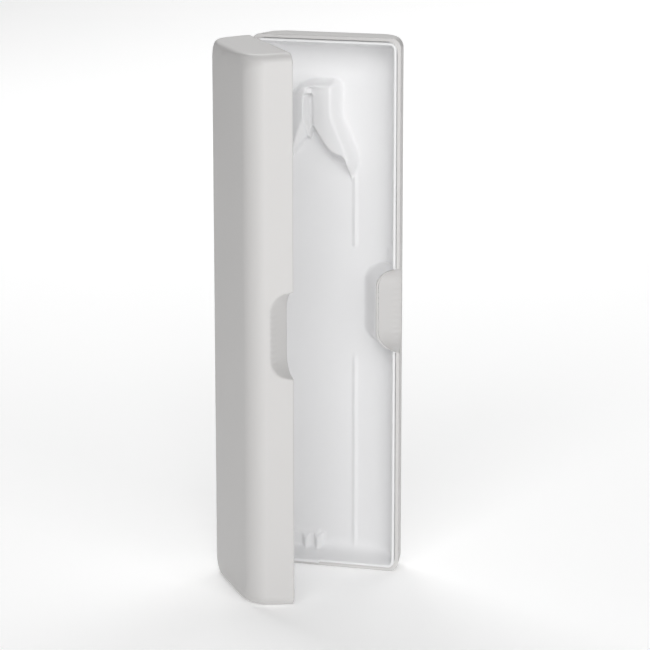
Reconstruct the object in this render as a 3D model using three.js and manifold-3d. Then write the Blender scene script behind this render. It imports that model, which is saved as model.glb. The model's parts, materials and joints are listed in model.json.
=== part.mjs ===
// Travel case for an electric toothbrush: two moulded half shells that open like a book on a
// vertical hinge, each with a moulded tray inside. It stands on its short end, half open.
// Millimetres, +Z up. Every half is drawn closed, in its own frame: u across the width from the
// hinge side, v into the depth from the split plane, z up from the end it stands on.
import * as THREE from 'three';
import { mergeVertices } from 'three/addons/utils/BufferGeometryUtils.js';
import Module from 'manifold-3d';

// Case
const LENGTH = 245;
const WIDTH = 69;
const HALF_DEPTH = 20.5;
const OPEN_ANGLE = 56;             // degrees between the two split planes as it stands
const TOUCH_GAP = 0.3;             // between pieces that touch
const SPLIT_GAP = 0.3;             // between the two rims when closed

// Outer form of a half
const SHELL_WALL = 1.6;
const SIDE_DRAFT = 9.0;            // degrees
const SIDE_STRAIGHT = 12;          // depth at which the corner round starts
const CORNER_REACH = 12;           // width that the corner round takes
const DOME_RISE = 1.1;             // crown of the large face above its corners
const END_LAND = 4;                // flat band at the rim that the case stands on
const END_DRAFT = 2.0;             // degrees
const END_ROUND = 2.4;
const RIM_CORNER = 4.5;

// Trays
const TRAY_WALL = 1.2;
const TRAY_CLEARANCE = 1.7;        // tray floor to the inside of the large face
const TRAY_DEPTH = HALF_DEPTH - SHELL_WALL - TRAY_WALL - TRAY_CLEARANCE;  // to the tray floor
const TRAY_STRAIGHT = 6;
const TRAY_CORNER_REACH = 15.5;
const TRAY_FLOOR_DROP = 0.2;
const TRAY_END_ROUND = 6;
const LIP_PROUD = 1.2;             // base tray's lip above its split plane
const LIP_WALL = 0.95;
const LIP_ROOT = 2;
const LID_TRAY_TOP = 4;            // set back so that the base tray's lip has room
const TAB_PROUD = 2.6;             // guide tab at the foot of the base tray
const TAB_HALF_WIDTH = 7.6;

// Finger scoops in the two free sides
const SCOOP_REACH = 10.5;            // cut back from the free side at the split plane
const SCOOP_DEPTH = 12.5;          // depth at which the scoop leaves the side wall
const SCOOP_CENTRE = 122.5;         // height of its middle
const SCOOP_LENGTH = 38;
const SCOOP_ROUND = 7;
const MOUND_SPREAD = 3;            // the tray's mound behind it widens to its foot by this
const MOUND_TOP = 0.3;

// Handle bay in the base tray
const BAY_CENTRE = 24.3;           // from the hinge side
const YOKE_FACE = 7;               // depth of its front face
const YOKE_TOP = LENGTH - 23.5;
const YOKE_SHOULDER = YOKE_TOP - 15.5;
const YOKE_FOOT = YOKE_TOP - 34;
const YOKE_HALF_TOP = 10.1;
const YOKE_HALF_FOOT = 18.2;
const CHANNEL_HALF = 4.2;
const CHANNEL_DEPTH = TRAY_DEPTH - 4;
const CHANNEL_TOP = YOKE_TOP - 2.5;
const SLOT_HALF = 1.4;
const SLOT_TOP = YOKE_TOP - 6.5;
const SLOT_FLOOR = 0.3;            // left above the tray floor
const SEAT_AXIS = TRAY_DEPTH - 7;    // depth of the cone that seats the handle's shoulder
const SEAT_TOP_RADIUS = 3;
const SEAT_TOP = YOKE_TOP - 16.5;
const SEAT_SLOPE = 0.575;          // radius gained per millimetre downwards
const RIB_OFFSET = 19.9;           // rib centre from the bay's centre
const RIB_WIDTH = 1.4;
const RIB_HEIGHT = 3;
const RIB_SPANS = [[YOKE_FOOT - 42.5, YOKE_FOOT - 8.5], [2.5, 95]];
const FOOT_OFFSET = 2.8;           // foot lugs from the bay's centre
const FOOT_WIDTH = 1.6;
const FOOT_HEIGHT = 9;
const FOOT_LENGTH = 10;

// Hinge
const HINGE_OUT = 2.4;             // axis outside the side wall
const KNUCKLE_RADIUS = 2.1;
const PIN_RADIUS = 0.8;
const PIN_CLEARANCE = 0.3;
const HINGE_END = 42;              // hinge centres from either end
const HINGE_CENTRES = [HINGE_END, LENGTH - HINGE_END];
const KNUCKLE_LENGTH = 8;
const KNUCKLE_GAP = 0.3;
const WEB_REACH = 8;               // depth to which a knuckle's web runs down the side wall

const ROUND_STEPS = 7;             // odd, so that the large face keeps a flat middle facet
const CIRCLE_STEPS = 20;
const THROUGH = 30;                // how far a cutter runs past what it cuts

const X = new THREE.Vector3(1, 0, 0);
const Y = new THREE.Vector3(0, 1, 0);
const Z = new THREE.Vector3(0, 0, 1);
const ALONG_Z = new THREE.Matrix4();                      // outline (u, v)
const ALONG_U = new THREE.Matrix4().makeBasis(Y, Z, X);   // outline (v, z)
const ALONG_V = new THREE.Matrix4().makeBasis(Z, X, Y);   // outline (z, u)

const wasm = await Module();
wasm.setup();

function toSolid(geometry) {
  geometry.deleteAttribute('normal');
  geometry.deleteAttribute('uv');
  const welded = mergeVertices(geometry, 1e-4);
  return new wasm.Manifold(new wasm.Mesh({
    numProp: 3,
    vertProperties: new Float32Array(welded.attributes.position.array),
    triVerts: new Uint32Array(welded.index.array),
  }));
}

function prismGeometry(shape, axes, from, to) {
  const options = { depth: to - from, bevelEnabled: false, curveSegments: ROUND_STEPS };
  const geometry = new THREE.ExtrudeGeometry(shape, options);
  geometry.translate(0, 0, from);
  return geometry.applyMatrix4(axes);
}

function prism(shape, axes, from, to) {
  return toSolid(prismGeometry(shape, axes, from, to));
}

function polygon(points) {
  return new THREE.Shape(points.map(([a, b]) => new THREE.Vector2(a, b)));
}

function box(u0, u1, v0, v1, z0, z1) {
  return prism(polygon([[u0, v0], [u1, v0], [u1, v1], [u0, v1]]), ALONG_Z, z0, z1);
}

function roundedRectangle(a0, a1, b0, b1, radius) {
  const shape = new THREE.Shape();
  shape.moveTo(a0 + radius, b0);
  shape.lineTo(a1 - radius, b0);
  shape.absarc(a1 - radius, b0 + radius, radius, -Math.PI / 2, 0);
  shape.lineTo(a1, b1 - radius);
  shape.absarc(a1 - radius, b1 - radius, radius, 0, Math.PI / 2);
  shape.lineTo(a0 + radius, b1);
  shape.absarc(a0 + radius, b1 - radius, radius, Math.PI / 2, Math.PI);
  shape.lineTo(a0, b0 + radius);
  shape.absarc(a0 + radius, b0 + radius, radius, Math.PI, Math.PI * 1.5);
  return shape;
}

function upright(radiusLow, radiusHigh, u, v, z0, z1) {
  const geometry = new THREE.CylinderGeometry(radiusHigh, radiusLow, z1 - z0, CIRCLE_STEPS);
  geometry.rotateX(Math.PI / 2);
  geometry.translate(u, v, (z0 + z1) / 2);
  return toSolid(geometry);
}

// A half's solid form is what three outlines share: the section across the width, the profile
// from end to end, and the outline of the rim. An inset form gives the hollow inside a wall.
function sectionOutline(form) {
  const slope = Math.tan(THREE.MathUtils.degToRad(SIDE_DRAFT));
  const shoulder = form.depth - form.crown;
  const rise = (2 * form.crown) / (WIDTH / 2 - form.reach);
  const cornerV = (shoulder - rise * (form.reach - form.inset)) / (1 - rise * slope);
  const cornerU = form.inset + slope * cornerV;
  const wallU = form.inset + slope * form.straight;
  const topU = form.inset + slope * form.top;
  const shape = new THREE.Shape();
  shape.moveTo(topU, form.top);
  shape.lineTo(wallU, form.straight);
  shape.quadraticCurveTo(cornerU, cornerV, form.reach, shoulder);
  shape.quadraticCurveTo(WIDTH / 2, shoulder + 2 * form.crown, WIDTH - form.reach, shoulder);
  shape.quadraticCurveTo(WIDTH - cornerU, cornerV, WIDTH - wallU, form.straight);
  shape.lineTo(WIDTH - topU, form.top);
  return shape;
}

function endOutline(form) {
  const slope = Math.tan(THREE.MathUtils.degToRad(END_DRAFT));
  const low = form.inset;
  const roundStart = low + slope * (form.depth - form.endRound - END_LAND);
  const roundCorner = low + slope * (form.depth - END_LAND);
  const shape = new THREE.Shape();
  shape.moveTo(form.top, low);
  shape.lineTo(END_LAND, low);
  shape.lineTo(form.depth - form.endRound, roundStart);
  shape.quadraticCurveTo(form.depth, roundCorner, form.depth, roundCorner + form.endRound);
  shape.lineTo(form.depth, LENGTH - roundCorner - form.endRound);
  shape.quadraticCurveTo(form.depth, LENGTH - roundCorner,
    form.depth - form.endRound, LENGTH - roundStart);
  shape.lineTo(END_LAND, LENGTH - low);
  shape.lineTo(form.top, LENGTH - low);
  return shape;
}

function rimPrism(inset, from, to) {
  const radius = RIM_CORNER - inset / 2;
  return prism(roundedRectangle(inset, LENGTH - inset, inset, WIDTH - inset, radius),
    ALONG_V, from, to);
}

function halfForm(form) {
  return prism(sectionOutline(form), ALONG_Z, -1, LENGTH + 1)
    .intersect(prism(endOutline(form), ALONG_U, -1, WIDTH + 1))
    .intersect(rimPrism(form.inset, form.top, form.depth + 1));
}

function shellForm(inset, top) {
  return halfForm({
    inset,
    top,
    depth: HALF_DEPTH - inset,
    crown: DOME_RISE,
    straight: SIDE_STRAIGHT,
    reach: CORNER_REACH + inset / 2,
    endRound: END_ROUND,
  });
}

function trayForm(inset, top, depth) {
  return halfForm({
    inset,
    top,
    depth,
    crown: TRAY_FLOOR_DROP,
    straight: TRAY_STRAIGHT,
    reach: TRAY_CORNER_REACH,
    endRound: TRAY_END_ROUND,
  });
}

// The scoop is cut square to a plane that slopes from the split plane out to the side wall.
function scoopCutter(grow) {
  const slope = new THREE.Vector3(SCOOP_REACH, SCOOP_DEPTH, 0);
  const length = slope.length();
  slope.normalize();
  const axes = new THREE.Matrix4().makeBasis(slope, Z, new THREE.Vector3().crossVectors(slope, Z));
  axes.setPosition(WIDTH - SCOOP_REACH, 0, 0);
  const half = SCOOP_LENGTH / 2 + grow;
  const shape = roundedRectangle(-grow, length + grow, SCOOP_CENTRE - half, SCOOP_CENTRE + half,
    SCOOP_ROUND + grow);
  return prism(shape, axes, -grow, THROUGH);
}

// The tray rises behind the scoop in a mound that widens towards the tray floor.
function mound(inset, top, foot) {
  const inner = WIDTH - SCOOP_REACH - TRAY_WALL + inset;
  const outer = WIDTH + SCOOP_REACH;
  const half = SCOOP_LENGTH / 2 + TRAY_WALL - inset;
  const shape = roundedRectangle(SCOOP_CENTRE - half, SCOOP_CENTRE + half, inner, outer,
    SCOOP_ROUND);
  const geometry = prismGeometry(shape, ALONG_V, top, foot);
  const spots = geometry.attributes.position;
  const middleU = (inner + outer) / 2;
  for (let i = 0; i < spots.count; i += 1) {
    const share = (spots.getY(i) - top) / (foot - top);
    const stretchZ = 1 + (share * MOUND_SPREAD) / half;
    const stretchU = 1 + (share * MOUND_SPREAD) / (outer - middleU);
    spots.setZ(i, SCOOP_CENTRE + (spots.getZ(i) - SCOOP_CENTRE) * stretchZ);
    spots.setX(i, middleU + (spots.getX(i) - middleU) * stretchU);
  }
  return toSolid(geometry);
}

function shell(knuckleSpans) {
  let body = shellForm(0, SPLIT_GAP / 2).subtract(shellForm(SHELL_WALL, -1));
  body = body.subtract(scoopCutter(0));
  const web = polygon([
    [-HINGE_OUT - KNUCKLE_RADIUS, TOUCH_GAP],
    [SHELL_WALL / 2, TOUCH_GAP],
    [SHELL_WALL / 2 + 1, WEB_REACH],
  ]);
  for (const [low, high] of knuckleSpans) {
    body = body.add(prism(web, ALONG_Z, low, high));
    body = body.add(upright(KNUCKLE_RADIUS, KNUCKLE_RADIUS, -HINGE_OUT, 0, low, high));
  }
  const bore = PIN_RADIUS + PIN_CLEARANCE;
  for (const centre of HINGE_CENTRES) {
    const reach = KNUCKLE_LENGTH * 2;
    body = body.subtract(upright(bore, bore, -HINGE_OUT, 0, centre - reach, centre + reach));
  }
  return body;
}

// The neck yoke: cheeks either side of a channel, with a cone below that seats the shoulder.
function yoke(inset, back) {
  const mirrored = [
    [YOKE_FOOT + inset, YOKE_HALF_FOOT - inset],
    [YOKE_SHOULDER, YOKE_HALF_TOP - inset],
    [YOKE_TOP - inset, YOKE_HALF_TOP - inset],
  ];
  const outline = mirrored.map(([z, half]) => [z, BAY_CENTRE + half]);
  const otherSide = mirrored.map(([z, half]) => [z, BAY_CENTRE - half]).reverse();
  let body = prism(polygon([...outline, ...otherSide]), ALONG_V, YOKE_FACE + inset, back);
  const front = YOKE_FACE - 1;
  body = body.subtract(box(BAY_CENTRE - CHANNEL_HALF - inset, BAY_CENTRE + CHANNEL_HALF + inset,
    front, CHANNEL_DEPTH + inset, YOKE_FOOT - 1, CHANNEL_TOP + inset));
  body = body.subtract(box(BAY_CENTRE - SLOT_HALF - inset, BAY_CENTRE + SLOT_HALF + inset,
    front, back - SLOT_FLOOR, YOKE_FOOT - 1, SLOT_TOP + inset));
  const drop = SEAT_TOP - YOKE_FOOT + 2;
  const seatLow = SEAT_TOP_RADIUS + drop * SEAT_SLOPE + inset;
  return body.subtract(upright(seatLow, SEAT_TOP_RADIUS + inset, BAY_CENTRE, SEAT_AXIS,
    SEAT_TOP - drop, SEAT_TOP));
}

function hollowMound() {
  return mound(TRAY_WALL, MOUND_TOP + TRAY_WALL, TRAY_DEPTH + TRAY_WALL + 1)
    .intersect(trayForm(SHELL_WALL + TOUCH_GAP + TRAY_WALL, -1, HALF_DEPTH))
    .subtract(scoopCutter(TRAY_WALL));
}

function trayBlank(top) {
  const inset = SHELL_WALL + TOUCH_GAP;
  const outside = trayForm(inset, SPLIT_GAP / 2, TRAY_DEPTH + TRAY_WALL);
  const cut = box(-1, WIDTH + 1, -THROUGH, top, -1, LENGTH + 1);
  return trayForm(inset, SPLIT_GAP / 2, TRAY_DEPTH + TRAY_WALL)
    .subtract(trayForm(inset + TRAY_WALL, -1, TRAY_DEPTH))
    .subtract(cut)
    .add(mound(0, MOUND_TOP, TRAY_DEPTH + TRAY_WALL / 2).intersect(outside));
}

function ribs(sink) {
  const u = BAY_CENTRE + RIB_OFFSET;
  const section = polygon([
    [u - RIB_WIDTH / 2, TRAY_DEPTH - RIB_HEIGHT],
    [u + RIB_WIDTH / 2, TRAY_DEPTH - RIB_HEIGHT],
    [u + RIB_WIDTH, TRAY_DEPTH + sink],
    [u - RIB_WIDTH, TRAY_DEPTH + sink],
  ]);
  return RIB_SPANS.map(([low, high]) => prism(section, ALONG_Z, low, high));
}

// The rib leaves the yoke's foot in a short outward sweep.
function ribSweep(sink) {
  const path = new THREE.CubicBezierCurve(
    new THREE.Vector2(YOKE_FOOT + 2, BAY_CENTRE + YOKE_HALF_FOOT - 3),
    new THREE.Vector2(YOKE_FOOT - 1, BAY_CENTRE + YOKE_HALF_FOOT - 1),
    new THREE.Vector2(YOKE_FOOT - 5, BAY_CENTRE + RIB_OFFSET),
    new THREE.Vector2(RIB_SPANS[0][1] - 1, BAY_CENTRE + RIB_OFFSET),
  );
  const left = [];
  const right = [];
  for (let i = 0; i <= ROUND_STEPS; i += 1) {
    const spot = path.getPoint(i / ROUND_STEPS);
    const way = path.getTangent(i / ROUND_STEPS);
    left.push([spot.x - way.y * RIB_WIDTH * 0.7, spot.y + way.x * RIB_WIDTH * 0.7]);
    right.unshift([spot.x + way.y * RIB_WIDTH * 0.7, spot.y - way.x * RIB_WIDTH * 0.7]);
  }
  return prism(polygon([...left, ...right]), ALONG_V, TRAY_DEPTH - RIB_HEIGHT, TRAY_DEPTH + sink);
}

// The lip stops either side of the scoop, clear of the mound in the lid's tray.
function lip() {
  const inset = SHELL_WALL + TOUCH_GAP + TRAY_WALL - LIP_WALL;
  const half = SCOOP_LENGTH / 2 + TRAY_WALL + TOUCH_GAP;
  return rimPrism(inset, -LIP_PROUD, LIP_ROOT)
    .subtract(rimPrism(inset + LIP_WALL, -LIP_PROUD - 1, LIP_ROOT + 1))
    .subtract(box(WIDTH / 2, WIDTH, -LIP_PROUD - 1, SPLIT_GAP / 2, SCOOP_CENTRE - half,
      SCOOP_CENTRE + half));
}

function guideTab() {
  const inset = SHELL_WALL + TOUCH_GAP + TRAY_WALL - LIP_WALL;
  return box(BAY_CENTRE - TAB_HALF_WIDTH, BAY_CENTRE + TAB_HALF_WIDTH, -TAB_PROUD, LIP_ROOT,
    inset, inset + LIP_WALL);
}

function baseTray() {
  const sink = TRAY_WALL / 2;
  const back = TRAY_DEPTH + TRAY_WALL + 1;
  const inset = SHELL_WALL + TOUCH_GAP;
  let fittings = yoke(0, TRAY_DEPTH + sink).add(ribSweep(sink));
  for (const rib of ribs(sink)) {
    fittings = fittings.add(rib);
  }
  for (const side of [-1, 1]) {
    const u = BAY_CENTRE + side * FOOT_OFFSET;
    fittings = fittings.add(box(u - FOOT_WIDTH / 2, u + FOOT_WIDTH / 2,
      TRAY_DEPTH - FOOT_HEIGHT, TRAY_DEPTH + sink, inset, FOOT_LENGTH));
  }
  fittings = fittings.intersect(trayForm(inset, SPLIT_GAP / 2, TRAY_DEPTH + TRAY_WALL));
  const body = trayBlank(SPLIT_GAP / 2).add(lip()).add(guideTab()).add(fittings);
  return body.subtract(scoopCutter(0)).subtract(hollowMound()).subtract(yoke(TRAY_WALL, back));
}

function lidTray() {
  return trayBlank(LID_TRAY_TOP).subtract(scoopCutter(0)).subtract(hollowMound());
}

function knuckles(parts) {
  const pitch = KNUCKLE_LENGTH + KNUCKLE_GAP;
  return HINGE_CENTRES.flatMap((centre) => parts.map((step) => [
    centre + step * pitch - KNUCKLE_LENGTH / 2,
    centre + step * pitch + KNUCKLE_LENGTH / 2,
  ]));
}

// Meshes
function toGeometry(body, mirror) {
  const mesh = body.getMesh();
  const spots = new Float32Array(mesh.vertProperties);
  const faces = new Uint32Array(mesh.triVerts);
  if (mirror) {
    for (let i = 1; i < spots.length; i += 3) {
      spots[i] = -spots[i];
    }
    for (let i = 0; i < faces.length; i += 3) {
      [faces[i], faces[i + 1]] = [faces[i + 1], faces[i]];
    }
  }
  const geometry = new THREE.BufferGeometry();
  geometry.setAttribute('position', new THREE.BufferAttribute(spots, 3));
  geometry.setIndex(new THREE.BufferAttribute(faces, 1));
  geometry.computeVertexNormals();
  return geometry;
}

function piece(name, body, colour, roughness, metalness, mirror) {
  const material = new THREE.MeshStandardMaterial({ color: colour, roughness, metalness });
  const mesh = new THREE.Mesh(toGeometry(body, mirror), material);
  mesh.name = name;
  return mesh;
}

const WHITE = 0xe9e9ea;
const STEEL = 0xb4b6ba;
const SATIN = 0.42;

const base = new THREE.Group();
base.add(piece('base_shell', shell(knuckles([-1, 1])), WHITE, SATIN, 0, false));
base.add(piece('base_tray', baseTray(), WHITE, SATIN, 0, false));
const pinHalf = KNUCKLE_LENGTH * 1.5 + KNUCKLE_GAP;
HINGE_CENTRES.forEach((centre, i) => {
  const pin = upright(PIN_RADIUS, PIN_RADIUS, -HINGE_OUT, 0, centre - pinHalf, centre + pinHalf);
  base.add(piece(['lower_hinge_pin', 'upper_hinge_pin'][i], pin, STEEL, 0.3, 1, false));
});

const lid = new THREE.Group();
lid.add(piece('lid_shell', shell(knuckles([0])), WHITE, SATIN, 0, true));
lid.add(piece('lid_tray', lidTray(), WHITE, SATIN, 0, true));
for (const mesh of lid.children) {
  mesh.position.x = HINGE_OUT;
}
lid.position.x = -HINGE_OUT;
lid.rotation.z = -THREE.MathUtils.degToRad(OPEN_ANGLE);

const travelCase = new THREE.Group();
travelCase.add(base, lid);
travelCase.updateMatrixWorld(true);
const bounds = new THREE.Box3().setFromObject(travelCase, true);
const middle = bounds.getCenter(new THREE.Vector3());
travelCase.position.set(-middle.x, -middle.y, -bounds.min.z);
travelCase.updateMatrixWorld(true);

export default travelCase;
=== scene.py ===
# %% [markdown]
# # A hinged travel case in satin white plastic
#
# The case is two moulded half shells that open like a book on a vertical hinge. Each half has a separate
# moulded tray inside it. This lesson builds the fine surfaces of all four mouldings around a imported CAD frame
# that already has the right sizes and the right hinge, then gives them their finish, light and camera.
#
# Everything is worked out in the frame of one closed half, in millimetres: u runs across the width from the
# hinge side, v into the depth from the split plane, and z up from the end that the case stands on. Only the
# last step turns that into metres and swings the lid round to where it stands.

# %% Load the frame
import json
import math

import bpy
import numpy as np
from mathutils import Matrix, Vector


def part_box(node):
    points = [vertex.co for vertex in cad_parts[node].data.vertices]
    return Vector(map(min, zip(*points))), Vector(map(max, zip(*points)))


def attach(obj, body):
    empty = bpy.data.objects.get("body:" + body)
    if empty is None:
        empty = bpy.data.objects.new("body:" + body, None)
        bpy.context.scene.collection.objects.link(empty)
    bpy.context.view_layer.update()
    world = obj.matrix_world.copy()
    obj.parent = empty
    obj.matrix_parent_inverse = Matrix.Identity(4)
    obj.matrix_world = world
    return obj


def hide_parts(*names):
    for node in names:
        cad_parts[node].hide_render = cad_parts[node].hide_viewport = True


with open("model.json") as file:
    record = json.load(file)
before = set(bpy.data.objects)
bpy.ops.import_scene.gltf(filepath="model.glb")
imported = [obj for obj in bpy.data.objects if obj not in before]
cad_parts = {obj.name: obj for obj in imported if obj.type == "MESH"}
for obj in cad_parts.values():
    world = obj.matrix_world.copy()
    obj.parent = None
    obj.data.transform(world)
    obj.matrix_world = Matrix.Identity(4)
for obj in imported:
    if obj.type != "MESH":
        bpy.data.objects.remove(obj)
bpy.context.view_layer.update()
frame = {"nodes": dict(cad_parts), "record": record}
MM = 0.001
hinge = frame["record"]["behaviour"]["joints"][0]
AXIS = np.array(hinge["pos_m"][:2]) / MM
OPEN = math.radians(-hinge["range_deg"][0])
shell_low, shell_high = (np.array(corner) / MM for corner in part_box("base_shell"))
LENGTH = shell_high[2] - shell_low[2]
HINGE_OUT = 2.4
WIDTH = round(shell_high[0] - AXIS[0] - HINGE_OUT, 1)
DEPTH = round(shell_high[1] - AXIS[1], 1)
print("case", LENGTH, "x", WIDTH, "x", DEPTH, "mm a half, open", round(math.degrees(OPEN)), "degrees")

# %% [markdown]
# ## From a half's own frame to the scene
#
# The base half needs only a shift. The lid is the base's mirror image in the split plane, turned about the
# hinge axis by the angle at which the case stands open. A mirror turns a surface inside out, so the lid's faces
# are listed the other way round.

# %% Placing a half
def placed(points, body):
    """Base: X is the axis plus hinge offset plus u, Y is the axis plus v. Lid: v counts the other way and
    the result is turned clockwise about the axis by the opening angle."""
    u, v, z = points.T
    if body == "base":
        x, y = u + HINGE_OUT, v
    else:
        out, back = u + HINGE_OUT, -v
        x = out * math.cos(OPEN) + back * math.sin(OPEN)
        y = back * math.cos(OPEN) - out * math.sin(OPEN)
    return np.stack([x + AXIS[0], y + AXIS[1], z], axis=-1) * MM


def make_mesh(name, points, faces, body):
    """A mesh object from an array of points and a list of corner arrays, in place, smooth, doubles merged."""
    corners = [list(map(int, row[::-1] if body == "lid" else row)) for block in faces for row in block]
    mesh = bpy.data.meshes.new(name)
    mesh.from_pydata(placed(points, body).tolist(), [], corners)
    mesh.validate()
    piece = bpy.data.objects.new(name, mesh)
    bpy.context.scene.collection.objects.link(piece)
    weld = piece.modifiers.new("weld", "WELD")
    weld.merge_threshold = 2e-6
    bpy.context.view_layer.objects.active = piece
    bpy.ops.object.modifier_apply(modifier=weld.name)
    mesh.polygons.foreach_set("use_smooth", np.ones(len(mesh.polygons), bool))
    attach(piece, body)
    print(name, len(mesh.vertices), "points", len(mesh.polygons), "faces")
    return piece


def grid_faces(rows, columns, closed=False):
    """Quads of a grid of rows by columns of points; closed joins the last column to the first."""
    index = np.arange(rows * columns).reshape(rows, columns)
    right = np.roll(index, -1, axis=1)
    if not closed:
        index, right = index[:, :-1], right[:, :-1]
    return np.stack([index[:-1], right[:-1], right[1:], index[1:]], axis=-1).reshape(-1, 4)


# %% [markdown]
# ## Soft joins
#
# A moulding has no sharp inner corners, because the melt has to flow and the tool has to be cut. Where two
# surfaces meet, a smooth minimum or maximum rounds the join over a chosen width. It costs one line, and unlike a
# bevel it works on any two height functions.

# %% Smooth minimum, maximum and ramp
def soft_min(a, b, k):
    """The lower of two heights, rounded where they are within k of each other."""
    h = np.clip(0.5 + 0.5 * (b - a) / k, 0, 1)
    return b + (a - b) * h - k * h * (1 - h)


def soft_max(a, b, k):
    """The higher of two heights, rounded in the same way."""
    return -soft_min(-a, -b, k)


def ramp(x, k):
    """Zero below 0 and x above it, with a parabola of width k between the two."""
    return soft_max(x, np.zeros_like(x), k)


def stepped(*stops):
    """Grid positions from (start, step), ... and a last (end,): fine where detail is, coarse elsewhere."""
    runs = []
    for (start, step), following in zip(stops[:-1], stops[1:]):
        count = max(2, int(round((following[0] - start) / step)) + 1)
        runs.append(np.linspace(start, following[0], count)[:-1])
    return np.concatenate([*runs, [stops[-1][0]]])


def bezier(start, control, end, count):
    """Points of a quadratic curve: two straight blends, blended again."""
    t = np.linspace(0, 1, count)[:, None]
    start, control, end = map(np.asarray, (start, control, end))
    return (1 - t) ** 2 * start + 2 * t * (1 - t) * control + t ** 2 * end


def soft_chamfer(start, control, end, count, handle=0.5):
    """Points of a cubic curve whose handles reach part of the way to the control: flatter than a parabola."""
    t = np.linspace(0, 1, count)[:, None]
    start, control, end = map(np.asarray, (start, control, end))
    first, second = start + (control - start) * handle, end + (control - end) * handle
    return (1 - t) ** 3 * start + 3 * t * (1 - t) ** 2 * first + 3 * t ** 2 * (1 - t) * second + t ** 3 * end


# %% [markdown]
# ## The outer shells
#
# Each shell is a drafted wall that turns through a big soft corner into a gently crowned face. It could be a
# subdivided box, but the crown, the draft and the finger scoop would all drift. Here it is a stack of rounded
# rectangles, one for each point of a profile that runs up the inside, over the rim and down the outside. The
# scoop is a dent: the free side's points are held back to a sloping floor.

# %% Shell sizes
WALL = 1.6
RIM = 0.15
DRAFT = math.tan(math.radians(9))
STRAIGHT = 12.0
REACH = 12.0
CROWN = 1.1
END_DRAFT = math.tan(math.radians(2))
END_LAND = 4.0
END_ROUND = 4.0
RIM_CORNER = 4.5
CORNER_GROWTH = 0.3
SCOOP_REACH = 10.3
SCOOP_DEPTH = 12.3
SCOOP_CENTRE = 122.5
SCOOP_HALF = 19.0
SCOOP_RUN = 9.0


# %% Shell profile
def side_profile(inset):
    """Across the width, from the split plane to the middle of the face: a straight drafted wall, a quadratic
    corner, and half of a quadratic crown. Columns are the distance in from the side, and the depth."""
    depth = DEPTH - inset
    shoulder = depth - CROWN
    reach = REACH + inset / 2
    rise = 2 * CROWN / (WIDTH / 2 - reach)
    corner_v = (shoulder - rise * (reach - inset)) / (1 - rise * DRAFT)
    wall_v = np.concatenate([np.linspace(0, 1.2, 5)[:-1], np.linspace(1.2, STRAIGHT, 24)])
    wall = np.stack([inset + DRAFT * wall_v, wall_v], axis=-1)
    corner = soft_chamfer(wall[-1], (inset + DRAFT * corner_v, corner_v), (reach, shoulder), 26)
    crown = bezier((reach, shoulder), (WIDTH / 2, shoulder + 2 * CROWN), (WIDTH - reach, shoulder), 29)
    return np.concatenate([wall, corner[1:], crown[1:15]])


def end_inset(v, inset):
    """How far the end face has drawn in at depth v: a flat land, a small draft, then an edge round."""
    depth = DEPTH - inset
    low = inset + END_DRAFT * (depth - END_ROUND - END_LAND)
    corner = inset + END_DRAFT * (depth - END_LAND)
    curve = bezier((depth - END_ROUND, low), (depth, corner), (depth + 1e-6, corner + END_ROUND), 30)
    line_v = np.concatenate([[-9, END_LAND], curve[:, 0]])
    line_z = np.concatenate([[inset, inset], curve[:, 1]])
    return np.interp(v, line_v, line_z)


def rim_loop():
    """A rounded rectangle as four weights a point: u is the middle plus the first times (half width minus
    radius) plus the third times radius, and z likewise from the second and fourth."""
    z = stepped((-1, 0.03), (-0.2, 0.004), (0.2, 0.03), (1,))
    u = np.linspace(-1, 1, 22)
    turn = np.linspace(0, math.pi / 2, 12)[1:-1]
    runs = [np.stack([np.ones_like(z), z, np.ones_like(z), 0 * z])]
    runs.append(np.stack([1 + 0 * turn, 1 + 0 * turn, np.cos(turn), np.sin(turn)]))
    runs.append(np.stack([-u, 1 + 0 * u, 0 * u, 1 + 0 * u]))
    runs.append(np.stack([-1 + 0 * turn, 1 + 0 * turn, -np.sin(turn), np.cos(turn)]))
    runs.append(np.stack([-np.ones_like(z), -z, -np.ones_like(z), 0 * z]))
    runs.append(np.stack([-1 + 0 * turn, -1 + 0 * turn, -np.cos(turn), -np.sin(turn)]))
    runs.append(np.stack([u, -1 + 0 * u, 0 * u, -1 + 0 * u]))
    runs.append(np.stack([1 + 0 * turn, -1 + 0 * turn, np.sin(turn), -np.cos(turn)]))
    return np.concatenate(runs, axis=1)


def scoop_share(z):
    """1 along the scoop's middle, falling to 0 at its ends along a quarter ellipse."""
    past = np.clip((np.abs(z - SCOOP_CENTRE) - (SCOOP_HALF - SCOOP_RUN)) / SCOOP_RUN, 0, 1)
    return np.sqrt(1 - past ** 2)


GRIP_PITCH = 2.6
GRIP_HEIGHT = 0.22
GRIP_START = 5.5
INNER_BACK = 0.7


def dented(u, v, z, back):
    """The free side held back to the scoop's floor, which runs from its reach at the split plane out to the
    wall at its depth. back moves the floor inwards for the wall's inner face. Fine grip ribs ripple the outer
    part of the floor."""
    share = scoop_share(z)
    safe = np.maximum(share, 0.02)
    floor = WIDTH - SCOOP_REACH * safe * (1 - v / (SCOOP_DEPTH * safe ** 0.7)) - back
    grip = GRIP_HEIGHT * np.clip((v - GRIP_START) / 2, 0, 1) * (0.5 + 0.5 * np.cos(2 * math.pi * z / GRIP_PITCH))
    floor = floor + np.where(back > 0, 0, grip * share)
    held = soft_min(u, floor, 0.9)
    return np.where((u > WIDTH / 2) & (share > 0.02), np.minimum(held, u), u)


def shell_rings(inset):
    """Rings of one face of the shell, as side inset, end inset and depth."""
    side = side_profile(inset)
    return np.stack([side[:, 0], end_inset(side[:, 1], inset), side[:, 1]], axis=-1)


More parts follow.
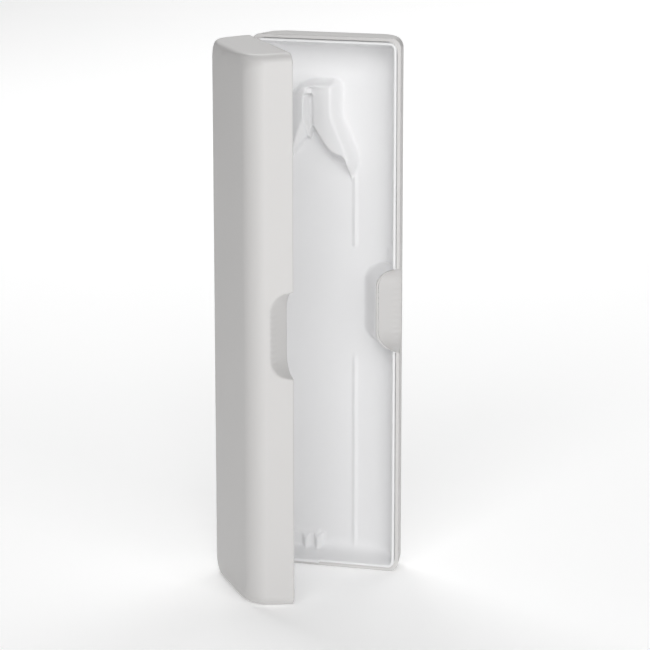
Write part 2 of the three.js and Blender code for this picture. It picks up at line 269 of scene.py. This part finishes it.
def make_shell(name, body):
    """Rings of the inner face from its middle up to the rim, three rings round the rim's edge, and rings of
    the outer face down to its middle, where each closes to a line."""
    outer, inner = shell_rings(0), shell_rings(WALL)
    outer[:, 2] = np.maximum(outer[:, 2], RIM)
    inner[:, 2] = np.maximum(inner[:, 2], RIM)
    edge = 0.25
    lip_out = outer[0] + [edge, edge, 0]
    lip_in = inner[0] - [edge, edge, 0]
    outer[0] += [0.0, 0.0, edge]
    mid = outer[0] * 0.5 + lip_out * 0.5 - [edge * 0.2, edge * 0.2, edge * 0.2]
    rings = np.concatenate([inner[::-1], [lip_in, lip_out, mid], outer])
    back = np.concatenate([np.full(len(inner), INNER_BACK), [0.6, 0.15, 0.05], np.zeros(len(outer))])
    loop = rim_loop()
    half_u = WIDTH / 2 - rings[:, 0:1]
    half_z = LENGTH / 2 - rings[:, 1:2]
    radius = np.minimum(RIM_CORNER + CORNER_GROWTH * rings[:, 0:1], half_u)
    u = WIDTH / 2 + loop[0] * (half_u - radius) + loop[2] * radius
    z = LENGTH / 2 + loop[1] * (half_z - radius) + loop[3] * radius
    v = np.broadcast_to(rings[:, 2:3], u.shape)
    u = dented(u, v, z, np.broadcast_to(back[:, None], u.shape))
    points = np.stack([u, v, z], axis=-1).reshape(-1, 3)
    piece = make_mesh(name, points, [grid_faces(*u.shape, closed=True)], body)
    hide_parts(name.replace("_moulding", ""))
    return piece


base_case = make_shell("base_shell_moulding", "base")
lid_case = make_shell("lid_shell_moulding", "lid")

# %% [markdown]
# ## The trays
#
# A tray is drawn as one height function over its rim: how deep the surface lies at each (u, z). The walls, the
# soft floor corners, the yoke that holds the handle's neck, the rib beside the handle bay and the mound behind
# the finger scoop are each a height function too, joined with the soft minimum. That is how the tool that
# moulds it is cut: every point can be reached from the front.

# %% Tray sizes
TRAY_INSET = 1.84
LIP = 1.26
LIP_PROUD = 0.95
TRAY_DEPTH = 16.0
TRAY_CORNER = 3.4
BAY = 24.3
YOKE_FACE = 7.0
YOKE_TOP = LENGTH - 23.0
YOKE_RIDGE = np.array([(0, 18.9), (YOKE_TOP - 36, 18.9), (YOKE_TOP - 31, 18.2),
                       (YOKE_TOP - 14, 10.9), (LENGTH, 10.9)])
YOKE_ARCH = np.array([(0, 205.2), (1.2, 204.6), (2.8, 202.4), (6.9, 195.9), (9.4, 192.6), (12.4, 190.9),
                      (15.8, 189.9),
                      (17.4, 187.5), (18.2, 183), (18.7, 177), (40, -100)])
YOKE_SKIRT = YOKE_TOP - 35
HINGE_SIDE_EDGE = 1.7
HINGE_SIDE_FOOT = 197.6
SHOULDER_TURN = 3.0
SLOT_HALF = 0.9
SLOT_DEEP = 12.4
LEDGE = YOKE_TOP - 1.2
SLOT_TOP = YOKE_TOP - 4.8
RIB_U = BAY + 19.9
RIB_TOP = TRAY_DEPTH - 1.5
RIB_STOPS = (3, 95.5, 148.5)
RIB_HALF = 0.4
LUG_OFFSET, LUG_HALF, LUG_HEIGHT, LUG_FACE = 2.8, 0.8, 9.5, 11.4
STEP_OFFSET, STEP_HEIGHT, STEP_FACE = 2.2, 11.0, 13.4
TAB_HALF = 7.6
TAB_PROUD = 2.4
LID_TRAY_TOP = 4.0


# %% Tray walls
def wall_tables():
    """Depth against distance in from the lip's outer edge, for the two sides and for the two ends."""
    lip = np.array([[0, -0.55], [0.12, -0.82], [0.35, -LIP_PROUD], [0.85, -LIP_PROUD], [1.1, -0.8], [LIP, -0.5]])
    side_turn = bezier((LIP + DRAFT * 5, 5), (LIP + DRAFT * TRAY_DEPTH, TRAY_DEPTH), (13, TRAY_DEPTH), 20)
    end_turn = bezier((LIP + END_DRAFT * 9, 9), (LIP + END_DRAFT * 16 + 0.5, TRAY_DEPTH), (9, TRAY_DEPTH), 20)
    last = [[200, TRAY_DEPTH]]
    return np.concatenate([lip, side_turn, last]), np.concatenate([lip, end_turn, last])


SIDE_TABLE, END_TABLE = wall_tables()


def tray_walls(u, z, top):
    """The lower of the side's and the end's depth, with the lip following the rim's rounded corners. top moves
    the lip down into the case where a tray is set back."""
    across = np.minimum(u - TRAY_INSET, WIDTH - TRAY_INSET - u)
    along = np.minimum(z - TRAY_INSET, LENGTH - TRAY_INSET - z)
    gap_u, gap_z = TRAY_CORNER - across, TRAY_CORNER - along
    corner = TRAY_CORNER - np.hypot(np.maximum(gap_u, 0), np.maximum(gap_z, 0))
    in_corner = (gap_u > 0) & (gap_z > 0)
    across = np.where(in_corner, np.minimum(across, corner), across)
    along = np.where(in_corner, np.minimum(along, corner), along)
    side = np.interp(across, *SIDE_TABLE.T)
    end = np.interp(along, *END_TABLE.T)
    k = np.clip((np.minimum(side, end) + 1.3) * 0.35, 1e-3, 3.0)
    return np.maximum(soft_min(side, end, k), top)


def eased(x, table, reach):
    """A table of straight pieces read at x, with its kinks averaged over plus and minus reach."""
    steps = np.linspace(-reach, reach, 9)
    return np.mean([np.interp(x + step, *table.T) for step in steps], axis=0)


def bay_yoke(u, z):
    """Two shoulders with a narrow slot between them. The one on the free side is deepest at the slot and rises,
    as a parabola, to a ridge, then falls gently. The one on the hinge side is highest at the slot and rolls
    away from it. Below an arch each is cut back to the floor: steeply on the free side, and on the hinge
    side by a slope that ends in a small step."""
    du = np.abs(u - BAY)
    side = np.clip((u - BAY) / 1.6 + 0.5, 0, 1)
    ridge = eased(z, YOKE_RIDGE, 2.0)
    roll = np.clip((ridge - du) / (ridge - SLOT_HALF), 0, 1)
    sunk = np.clip((LEDGE - z) / 0.7, 0, 1)
    right_face = YOKE_FACE + 2.6 * sunk * roll ** 2 + 3.0 * ramp(du - ridge, 1.2)
    away = np.maximum(BAY - HINGE_SIDE_EDGE - u, 0)
    left_face = YOKE_FACE + sunk * (0.25 * away + 0.055 * away ** 2) + (1 - sunk) * 0.35 * ramp(away - 3, 1.0)
    turned = 0.04 * np.minimum(u - BAY - SHOULDER_TURN, 0) ** 2
    above = 4.5 * ramp(z - YOKE_TOP + turned, 1.0)
    block = side * right_face + (1 - side) * left_face + above + 1.1 * ramp(YOKE_SKIRT - z, 3.0)
    slot = SLOT_DEEP - 3.5 * ramp(du - SLOT_HALF, 0.4) - 8 * ramp(z - SLOT_TOP, 0.6)
    arch = eased(du, YOKE_ARCH, 0.9)
    steep = YOKE_FACE + 1.0 + 1.9 * (arch - z)
    foot = HINGE_SIDE_FOOT - 1.15 * np.maximum(BAY - 2.2 - u, 0)
    gentle = soft_max(YOKE_FACE + 0.6 + 0.6 * (foot + 8.0 - z), YOKE_FACE + 5.2 + 3.0 * (foot - z), 0.6)
    cut = side * steep + (1 - side) * gentle
    return soft_max(soft_max(block, slot, 0.4), cut, 0.8)


def to_line(u, z, line):
    """Distance from each point to a chain of straight pieces."""
    best = np.full(u.shape, 1e9)
    for (z0, u0), (z1, u1) in zip(line[:-1], line[1:]):
        length = (z1 - z0) ** 2 + (u1 - u0) ** 2
        t = np.clip(((z - z0) * (z1 - z0) + (u - u0) * (u1 - u0)) / length, 0, 1)
        best = np.minimum(best, np.hypot(z - z0 - t * (z1 - z0), u - u0 - t * (u1 - u0)))
    return best


def bay_ribs(u, z):
    """The rib beside the handle bay: it comes out of the yoke's foot, stops for the fingers, and goes on."""
    upper = [(YOKE_TOP - 36, RIB_U - 0.4), (YOKE_TOP - 46, RIB_U), (RIB_STOPS[2], RIB_U)]
    lower = [(RIB_STOPS[1], RIB_U), (RIB_STOPS[0], RIB_U)]
    near = np.minimum(to_line(u, z, upper), to_line(u, z, lower))
    return RIB_TOP + 1.1 * ramp(near - RIB_HALF, 1.0)


def bay_foot(u, z):
    """Two low lugs against the bottom wall that steady the handle's foot, and the soft step beside them."""
    lugs = np.maximum(np.abs(np.abs(u - BAY) - LUG_OFFSET) - LUG_HALF, z - LUG_HEIGHT)
    step = np.maximum(u - BAY - STEP_OFFSET, z - STEP_HEIGHT)
    return soft_min(LUG_FACE + 2.2 * ramp(lugs, 1.0), STEP_FACE + 1.4 * ramp(step, 1.4), 1.2)


MOUND_EDGE = 0.85
MOUND_TOP = 0.4
SCOOP_AIR = 0.6


def scoop_edge(z):
    """Where the tray stops for the scoop: its outline, moved in by the shell's thin edge and a little air."""
    return WIDTH - SCOOP_REACH * scoop_share(z) - MOUND_EDGE


def mound(u, z):
    """Behind the scoop the tray rises to the rim: the scoop's outline grown a little, with leaning flanks."""
    along = np.abs(z - SCOOP_CENTRE) - SCOOP_HALF - 0.8
    outside = soft_max(scoop_edge(z) - MOUND_TOP - u, along, 3.0)
    return 0.35 + 1.9 * ramp(outside, 1.0)


# %% Whole tray
def tray_depth(u, z, fitted):
    """Walls joined with every fitting; the fitted tray is the base's, the plain one is the lid's. Beside the
    scoop the surface stays behind the split plane."""
    top = -LIP_PROUD if fitted else LID_TRAY_TOP
    depth = tray_walls(u, z, top)
    near_scoop = (u > WIDTH / 2) & (np.abs(z - SCOOP_CENTRE) < SCOOP_HALF + SCOOP_AIR)
    depth = np.where(near_scoop, np.maximum(depth, 0.1), depth)
    if fitted:
        depth = soft_min(depth, bay_yoke(u, z), 3.2)
        depth = soft_min(depth, bay_ribs(u, z), 0.9)
        depth = soft_min(depth, bay_foot(u, z), 0.8)
        tab = (np.abs(u - BAY) < TAB_HALF) & (z < TRAY_INSET + LIP)
        depth = np.where(tab, np.minimum(depth, -TAB_PROUD), depth)
    depth = np.maximum(soft_min(depth, mound(u, z), 3.0), np.minimum(depth, top))
    return np.where(near_scoop, np.maximum(depth, 0.1), depth)


SKIRT = [(0.02, 0.02, 1.0), (0.5, 0.2, 4.5), (1.2, 0.5, 9.0), (3.0, 1.6, 13.5), (6.5, 4.0, 16.2), (12.0, 8.0, 17.1)]


def make_tray(name, fitted):
    """The front is the height function on a grid whose rows narrow at the rim's corners. Its border is carried
    back in rings down the outside of the walls and closed behind the floor."""
    body = "base" if fitted else "lid"
    low, high = TRAY_INSET, LENGTH - TRAY_INSET
    z = stepped((low, 0.14), (low + 1.5, 0.5), (14, 1.6), (98, 0.6), (102.0, 0.16), (105.5, 0.6), (139.5, 0.16),
                (143.0, 0.6), (152, 1.2), (176, 0.36), (226, 1.2), (235, 0.5), (high - 1.5, 0.14), (high,))
    u = stepped((TRAY_INSET, 0.14), (TRAY_INSET + 1.8, 0.42), (8, 0.6), (BAY - 2.5, 0.2), (BAY + 2.5, 0.5),
                (RIB_U - 2.5, 0.25), (RIB_U + 2.5, 0.6), (WIDTH - TRAY_INSET - 1.8, 0.14), (WIDTH - TRAY_INSET,))
    gap = TRAY_CORNER - np.minimum(z - low, high - z)
    narrow = TRAY_CORNER - np.sqrt(np.maximum(TRAY_CORNER ** 2 - np.maximum(gap, 0) ** 2, 0))
    half = WIDTH / 2 - TRAY_INSET
    uu = WIDTH / 2 + (u[None, :] - WIDTH / 2) * (1 - narrow[:, None] / half)
    held = np.minimum(WIDTH - TRAY_INSET, np.where(scoop_share(z) > 0, scoop_edge(z), WIDTH)) - narrow
    past = np.clip((uu - RIB_U - 2.5) / (WIDTH - TRAY_INSET - narrow[:, None] - RIB_U - 2.5), 0, 1)
    uu = np.where(past > 0, RIB_U + 2.5 + past * (held[:, None] - RIB_U - 2.5), uu)
    zz = np.broadcast_to(z[:, None], uu.shape)
    vv = tray_depth(uu, zz, fitted)
    front = np.stack([uu, vv, zz], axis=-1).reshape(-1, 3)
    index = np.arange(uu.size).reshape(uu.shape)
    border = np.concatenate([index[0, :-1], index[:-1, -1], index[-1, :0:-1], index[:0:-1, 0]])
    rings = []
    for step, (side, end, deep) in enumerate(SKIRT):
        ring = front[border].copy()
        ring[:, 0] = WIDTH / 2 + (ring[:, 0] - WIDTH / 2) * (1 - side / half)
        ring[:, 2] = LENGTH / 2 + (ring[:, 2] - LENGTH / 2) * (1 - end / (LENGTH / 2 - low))
        ring[:, 1] = np.maximum(deep, ring[:, 1] + 0.3 * (step + 1))
        rings.append(ring)
    centre = [[WIDTH / 2, SKIRT[-1][2] + 0.05, LENGTH / 2]]
    points = np.concatenate([front, *rings, centre])
    count = len(border)
    start = len(front)
    loops = np.vstack([border, start + np.arange(len(SKIRT) * count).reshape(len(SKIRT), count)])
    after = np.roll(loops, -1, axis=1)
    skirt = np.stack([loops[:-1], loops[1:], after[1:], after[:-1]], axis=-1).reshape(-1, 4)
    cap = np.stack([loops[-1], np.full(count, len(points) - 1), after[-1]], axis=-1)
    quads = grid_faces(*uu.shape)
    piece = make_mesh(name, points, [quads, skirt, cap], body)
    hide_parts(name.replace("_moulding", ""))
    return piece


base_insert = make_tray("base_tray_moulding", True)
lid_insert = make_tray("lid_tray_moulding", False)

# %% [markdown]
# ## Hinge knuckles
#
# The knuckles are short barrels on the outside of the hinge side, each with a web that runs down the wall. The
# base has the outer pair of each hinge and the lid has the middle one, and a wire pin runs through all three.

# %% Knuckles
KNUCKLE = 8.0
KNUCKLE_GAP = 0.3
KNUCKLE_RADIUS = 2.1
BORE = 1.1
HINGE_CENTRES = (42.0, LENGTH - 42.0)


def make_knuckle(name, body, low, high):
    """A barrel with a bore: rings of a circle, four radii and heights round its rounded ends; and a web, a
    flat outline carried up the same height."""
    turn = np.linspace(0, 2 * math.pi, 48, endpoint=False)
    edge = 0.3
    steps = [(BORE, low + edge), (BORE + edge * 0.3, low + edge * 0.3), (BORE + edge, low),
             (KNUCKLE_RADIUS - edge, low), (KNUCKLE_RADIUS - edge * 0.3, low + edge * 0.3),
             (KNUCKLE_RADIUS, low + edge), (KNUCKLE_RADIUS, high - edge),
             (KNUCKLE_RADIUS - edge * 0.3, high - edge * 0.3), (KNUCKLE_RADIUS - edge, high),
             (BORE + edge, high), (BORE + edge * 0.3, high - edge * 0.3), (BORE, high - edge), (BORE, low + edge)]
    radius, z = np.array(steps).T
    rings = np.stack([-HINGE_OUT + radius[:, None] * np.cos(turn), radius[:, None] * np.sin(turn),
                      np.broadcast_to(z[:, None], (len(z), len(turn)))], axis=-1)
    barrel = rings.reshape(-1, 3)
    faces = grid_faces(len(z), len(turn), closed=True)
    reach = math.sqrt(KNUCKLE_RADIUS ** 2 - 1.4 ** 2)
    outline = np.array([[-HINGE_OUT - reach, 1.4], [-HINGE_OUT + reach, 1.4], [-0.15, 0.6], [0.35, 0.6],
                        [1.0, 4.0], [1.5, 8.2], [0.6, 7.6]])
    heights = [(0.12, low), (0.0, low + 0.15), (0.0, high - 0.15), (0.12, high)]
    middle = outline.mean(axis=0)
    stack = [np.column_stack([middle + (outline - middle) * (1 - shrink * 0.5), np.full(len(outline), level)])
             for shrink, level in heights]
    web = np.concatenate(stack)
    first = len(barrel)
    sides = grid_faces(len(heights), len(outline), closed=True) + first
    bottom = [np.arange(len(outline))[::-1] + first]
    top = [np.arange(len(outline)) + first + (len(heights) - 1) * len(outline)]
    piece = make_mesh(name, np.concatenate([barrel, web]), [faces, sides, bottom, top], body)
    return piece


knuckle_pieces = []
for level, centre in zip(("lower", "upper"), HINGE_CENTRES):
    for body, steps in (("base", (-1, 1)), ("lid", (0,))):
        for step in steps:
            middle = centre + step * (KNUCKLE + KNUCKLE_GAP)
            label = f"{level}_{body}_knuckle" + ("" if step == 0 else "_bottom" if step < 0 else "_top")
            knuckle_pieces.append(make_knuckle(label, body, middle - KNUCKLE / 2, middle + KNUCKLE / 2))

# %% [markdown]
# ## Shader maths as plain expressions
#
# A finish is arithmetic on patterns. Wrapping a socket in a small class lets that arithmetic be written as
# ordinary expressions, and each operator adds its Math node.

# %% Node helpers
class Value:
    """A socket that carries a number; its operators add Math nodes."""

    def __init__(self, tree, socket):
        self.tree, self.socket = tree, socket

    def maths(self, operation, other):
        node = self.tree.nodes.new("ShaderNodeMath")
        node.operation = operation
        for slot, value in zip(node.inputs, (self, other)):
            if isinstance(value, Value):
                self.tree.links.new(value.socket, slot)
            else:
                slot.default_value = value
        return Value(self.tree, node.outputs[0])

    def __add__(self, other):
        return self.maths("ADD", other)

    __radd__ = __add__

    def __mul__(self, other):
        return self.maths("MULTIPLY", other)

    __rmul__ = __mul__


class Finish:
    """A material's node tree, with one method that makes any node from its settings and inputs."""

    def __init__(self, name):
        self.material = bpy.data.materials.new(name)
        self.material.use_nodes = True
        self.tree = self.material.node_tree
        self.shader = self.tree.nodes["Principled BSDF"]
        self.place = self.node("ShaderNodeTexCoord").outputs["Object"]

    def node(self, kind, settings=None, **inputs):
        node = self.tree.nodes.new(kind)
        for key, value in (settings or {}).items():
            setattr(node, key, value)
        for key, value in inputs.items():
            self.feed(node.inputs[key.replace("_", " ")], value)
        return node

    def feed(self, slot, value):
        value = value.socket if isinstance(value, Value) else value
        if isinstance(value, bpy.types.NodeSocket):
            self.tree.links.new(value, slot)
        else:
            slot.default_value = value

    def noise(self, scale, detail=2.0):
        node = self.node("ShaderNodeTexNoise", Vector=self.place, Scale=scale, Detail=detail)
        return Value(self.tree, node.outputs["Fac"])

    def mix(self, factor, first, second):
        node = self.node("ShaderNodeMix", {"data_type": "RGBA"})
        self.feed(node.inputs[0], factor)
        self.feed(node.inputs[6], first)
        self.feed(node.inputs[7], second)
        return node.outputs[2]


# %% [markdown]
# ## Satin white plastic
#
# The mouldings are white with a fine spark-eroded grain: the tool's grain breaks up the shine, so the surface
# is soft rather than glossy. Very slight cloudiness in tone and shine comes from how the melt filled the tool.

# %% Plastic and steel
def satin_plastic(name, light, dark, rough, grain):
    """Two near whites blended by slow noise, roughness from the same noise, and a fine bump for the grain."""
    finish = Finish(name)
    cloud = finish.noise(14.0, 3.0)
    fine = finish.noise(2600.0, 1.0)
    speck = finish.noise(900.0, 2.0)
    finish.feed(finish.shader.inputs["Base Color"], finish.mix(cloud, (*dark, 1), (*light, 1)))
    finish.feed(finish.shader.inputs["Roughness"], cloud * 0.08 + speck * 0.06 + rough)
    bump = finish.node("ShaderNodeBump", Strength=grain, Distance=0.00004, Height=fine * 0.6 + speck * 0.4)
    finish.feed(finish.shader.inputs["Normal"], bump.outputs["Normal"])
    finish.shader.inputs["Specular IOR Level"].default_value = 0.45
    return finish.material


def drawn_steel(name):
    """Grey metal with fine lines along the wire: noise squeezed across z."""
    finish = Finish(name)
    squeeze = finish.node("ShaderNodeMapping", Vector=finish.place)
    squeeze.inputs["Scale"].default_value = (3000, 3000, 60)
    lines = Value(finish.tree, finish.node("ShaderNodeTexNoise", Vector=squeeze.outputs[0], Scale=1.0,
                                           Detail=2.0).outputs["Fac"])
    finish.feed(finish.shader.inputs["Base Color"], finish.mix(lines, (0.5, 0.51, 0.53, 1), (0.68, 0.69, 0.7, 1)))
    finish.feed(finish.shader.inputs["Roughness"], lines * 0.15 + 0.22)
    finish.shader.inputs["Metallic"].default_value = 1.0
    bump = finish.node("ShaderNodeBump", Strength=0.2, Distance=0.00002, Height=lines)
    finish.feed(finish.shader.inputs["Normal"], bump.outputs["Normal"])
    return finish.material


case_plastic = satin_plastic("satin_case_white", (0.655, 0.645, 0.637), (0.635, 0.625, 0.617), 0.40, 0.35)
tray_plastic = satin_plastic("satin_tray_white", (0.86, 0.86, 0.865), (0.845, 0.845, 0.85), 0.42, 0.2)
steel = drawn_steel("drawn_hinge_steel")
for piece in (base_case, lid_case, *knuckle_pieces):
    piece.data.materials.append(case_plastic)
for piece in (base_insert, lid_insert):
    piece.data.materials.append(tray_plastic)
for node in ("lower_hinge_pin", "upper_hinge_pin"):
    for slot in frame["nodes"][node].material_slots:
        slot.material = steel

# %% [markdown]
# ## Floor, light and camera
#
# A pale floor under a white studio. Two large lights at the front and to the right keep the tray and the lid's
# side wall bright, weaker ones behind lift the tops, and a wide one washes the floor far behind. Nothing comes
# from the front left, so the lid's broad face falls to a soft grey.

# %% Floor
FLOOR_SIZE = 6.0
FLOOR_GLOW = 0.21
bpy.ops.mesh.primitive_plane_add(size=FLOOR_SIZE, location=(0, 0, -0.0002))
floor = bpy.context.object
floor.name = "studio_floor"
paper = Finish("floor_paper")
tone = paper.mix(paper.noise(3.0), (0.93, 0.93, 0.93, 1), (0.96, 0.96, 0.96, 1))
paper.feed(paper.shader.inputs["Base Color"], tone)
paper.shader.inputs["Roughness"].default_value = 0.9
paper.shader.inputs["Emission Color"].default_value = (1, 1, 1, 1)
paper.shader.inputs["Emission Strength"].default_value = FLOOR_GLOW
floor.data.materials.append(paper.material)

# %% Lights
scene = bpy.context.scene
scene.view_settings.view_transform = "Standard"
SURROUND = 0.05
LIGHTS = [
    ("front_right", (1.10, -1.40, 0.80), (0, 0, 0.12), 1.4, 13.5),
    ("front_high", (0.20, -1.70, 1.10), (0, 0, 0.12), 1.2, 16.0),
    ("back_left_high", (-0.70, 0.90, 1.40), (0, 0, 0), 0.7, 8.0),
    ("back_high", (0.30, 1.10, 1.50), (0, 0.2, 0), 1.2, 3.5),
    ("far_wash", (0, 2.60, 1.80), (0, 2.6, 0), 2.4, 38.0),
]


def soft_light(name, place, aim, size, power):
    """A square area light at a place, facing a point."""
    data = bpy.data.lights.new(name, "AREA")
    data.size, data.energy = size, power
    light = bpy.data.objects.new(name, data)
    scene.collection.objects.link(light)
    light.location = place
    light.rotation_euler = (Vector(aim) - Vector(place)).to_track_quat("-Z", "Y").to_euler()
    return light


for row in LIGHTS:
    soft_light(*row)
world = bpy.data.worlds.new("studio")
world.use_nodes = True
scene.world = world
surround = world.node_tree.nodes["Background"]
surround.inputs["Color"].default_value = (1, 1, 1, 1)
seen = world.node_tree.nodes.new("ShaderNodeLightPath").outputs["Is Camera Ray"]
strength = Value(world.node_tree, seen) * (1 - SURROUND) + SURROUND
world.node_tree.links.new(strength.socket, surround.inputs["Strength"])

# %% Camera
AZIMUTH, ELEVATION = math.radians(16.136), math.radians(13.306)
ROLL = math.radians(-0.026)
DISTANCE, SLIDE, LIFT = 1279.7, 11.995, -3.813
LENS = 2879.755 * 36 / 650
level = math.cos(ELEVATION)
back = np.array([math.sin(AZIMUTH) * level, -math.cos(AZIMUTH) * level, math.sin(ELEVATION)])
right = np.array([math.cos(AZIMUTH), math.sin(AZIMUTH), 0.0])
up = np.cross(back, right)
place = right * SLIDE + up * LIFT + [0, 0, LENGTH / 2] + back * DISTANCE
rolled = math.cos(ROLL) * right + math.sin(ROLL) * up
data = bpy.data.cameras.new("camera")
data.lens, data.sensor_width = LENS, 36
data.clip_start, data.clip_end = 0.05, 20
camera = bpy.data.objects.new("camera", data)
scene.collection.objects.link(camera)
turn = Matrix(np.column_stack([rolled, np.cross(back, rolled), back]).tolist())
camera.matrix_world = Matrix.Translation((place * MM).tolist()) @ turn.to_4x4()
scene.camera = camera
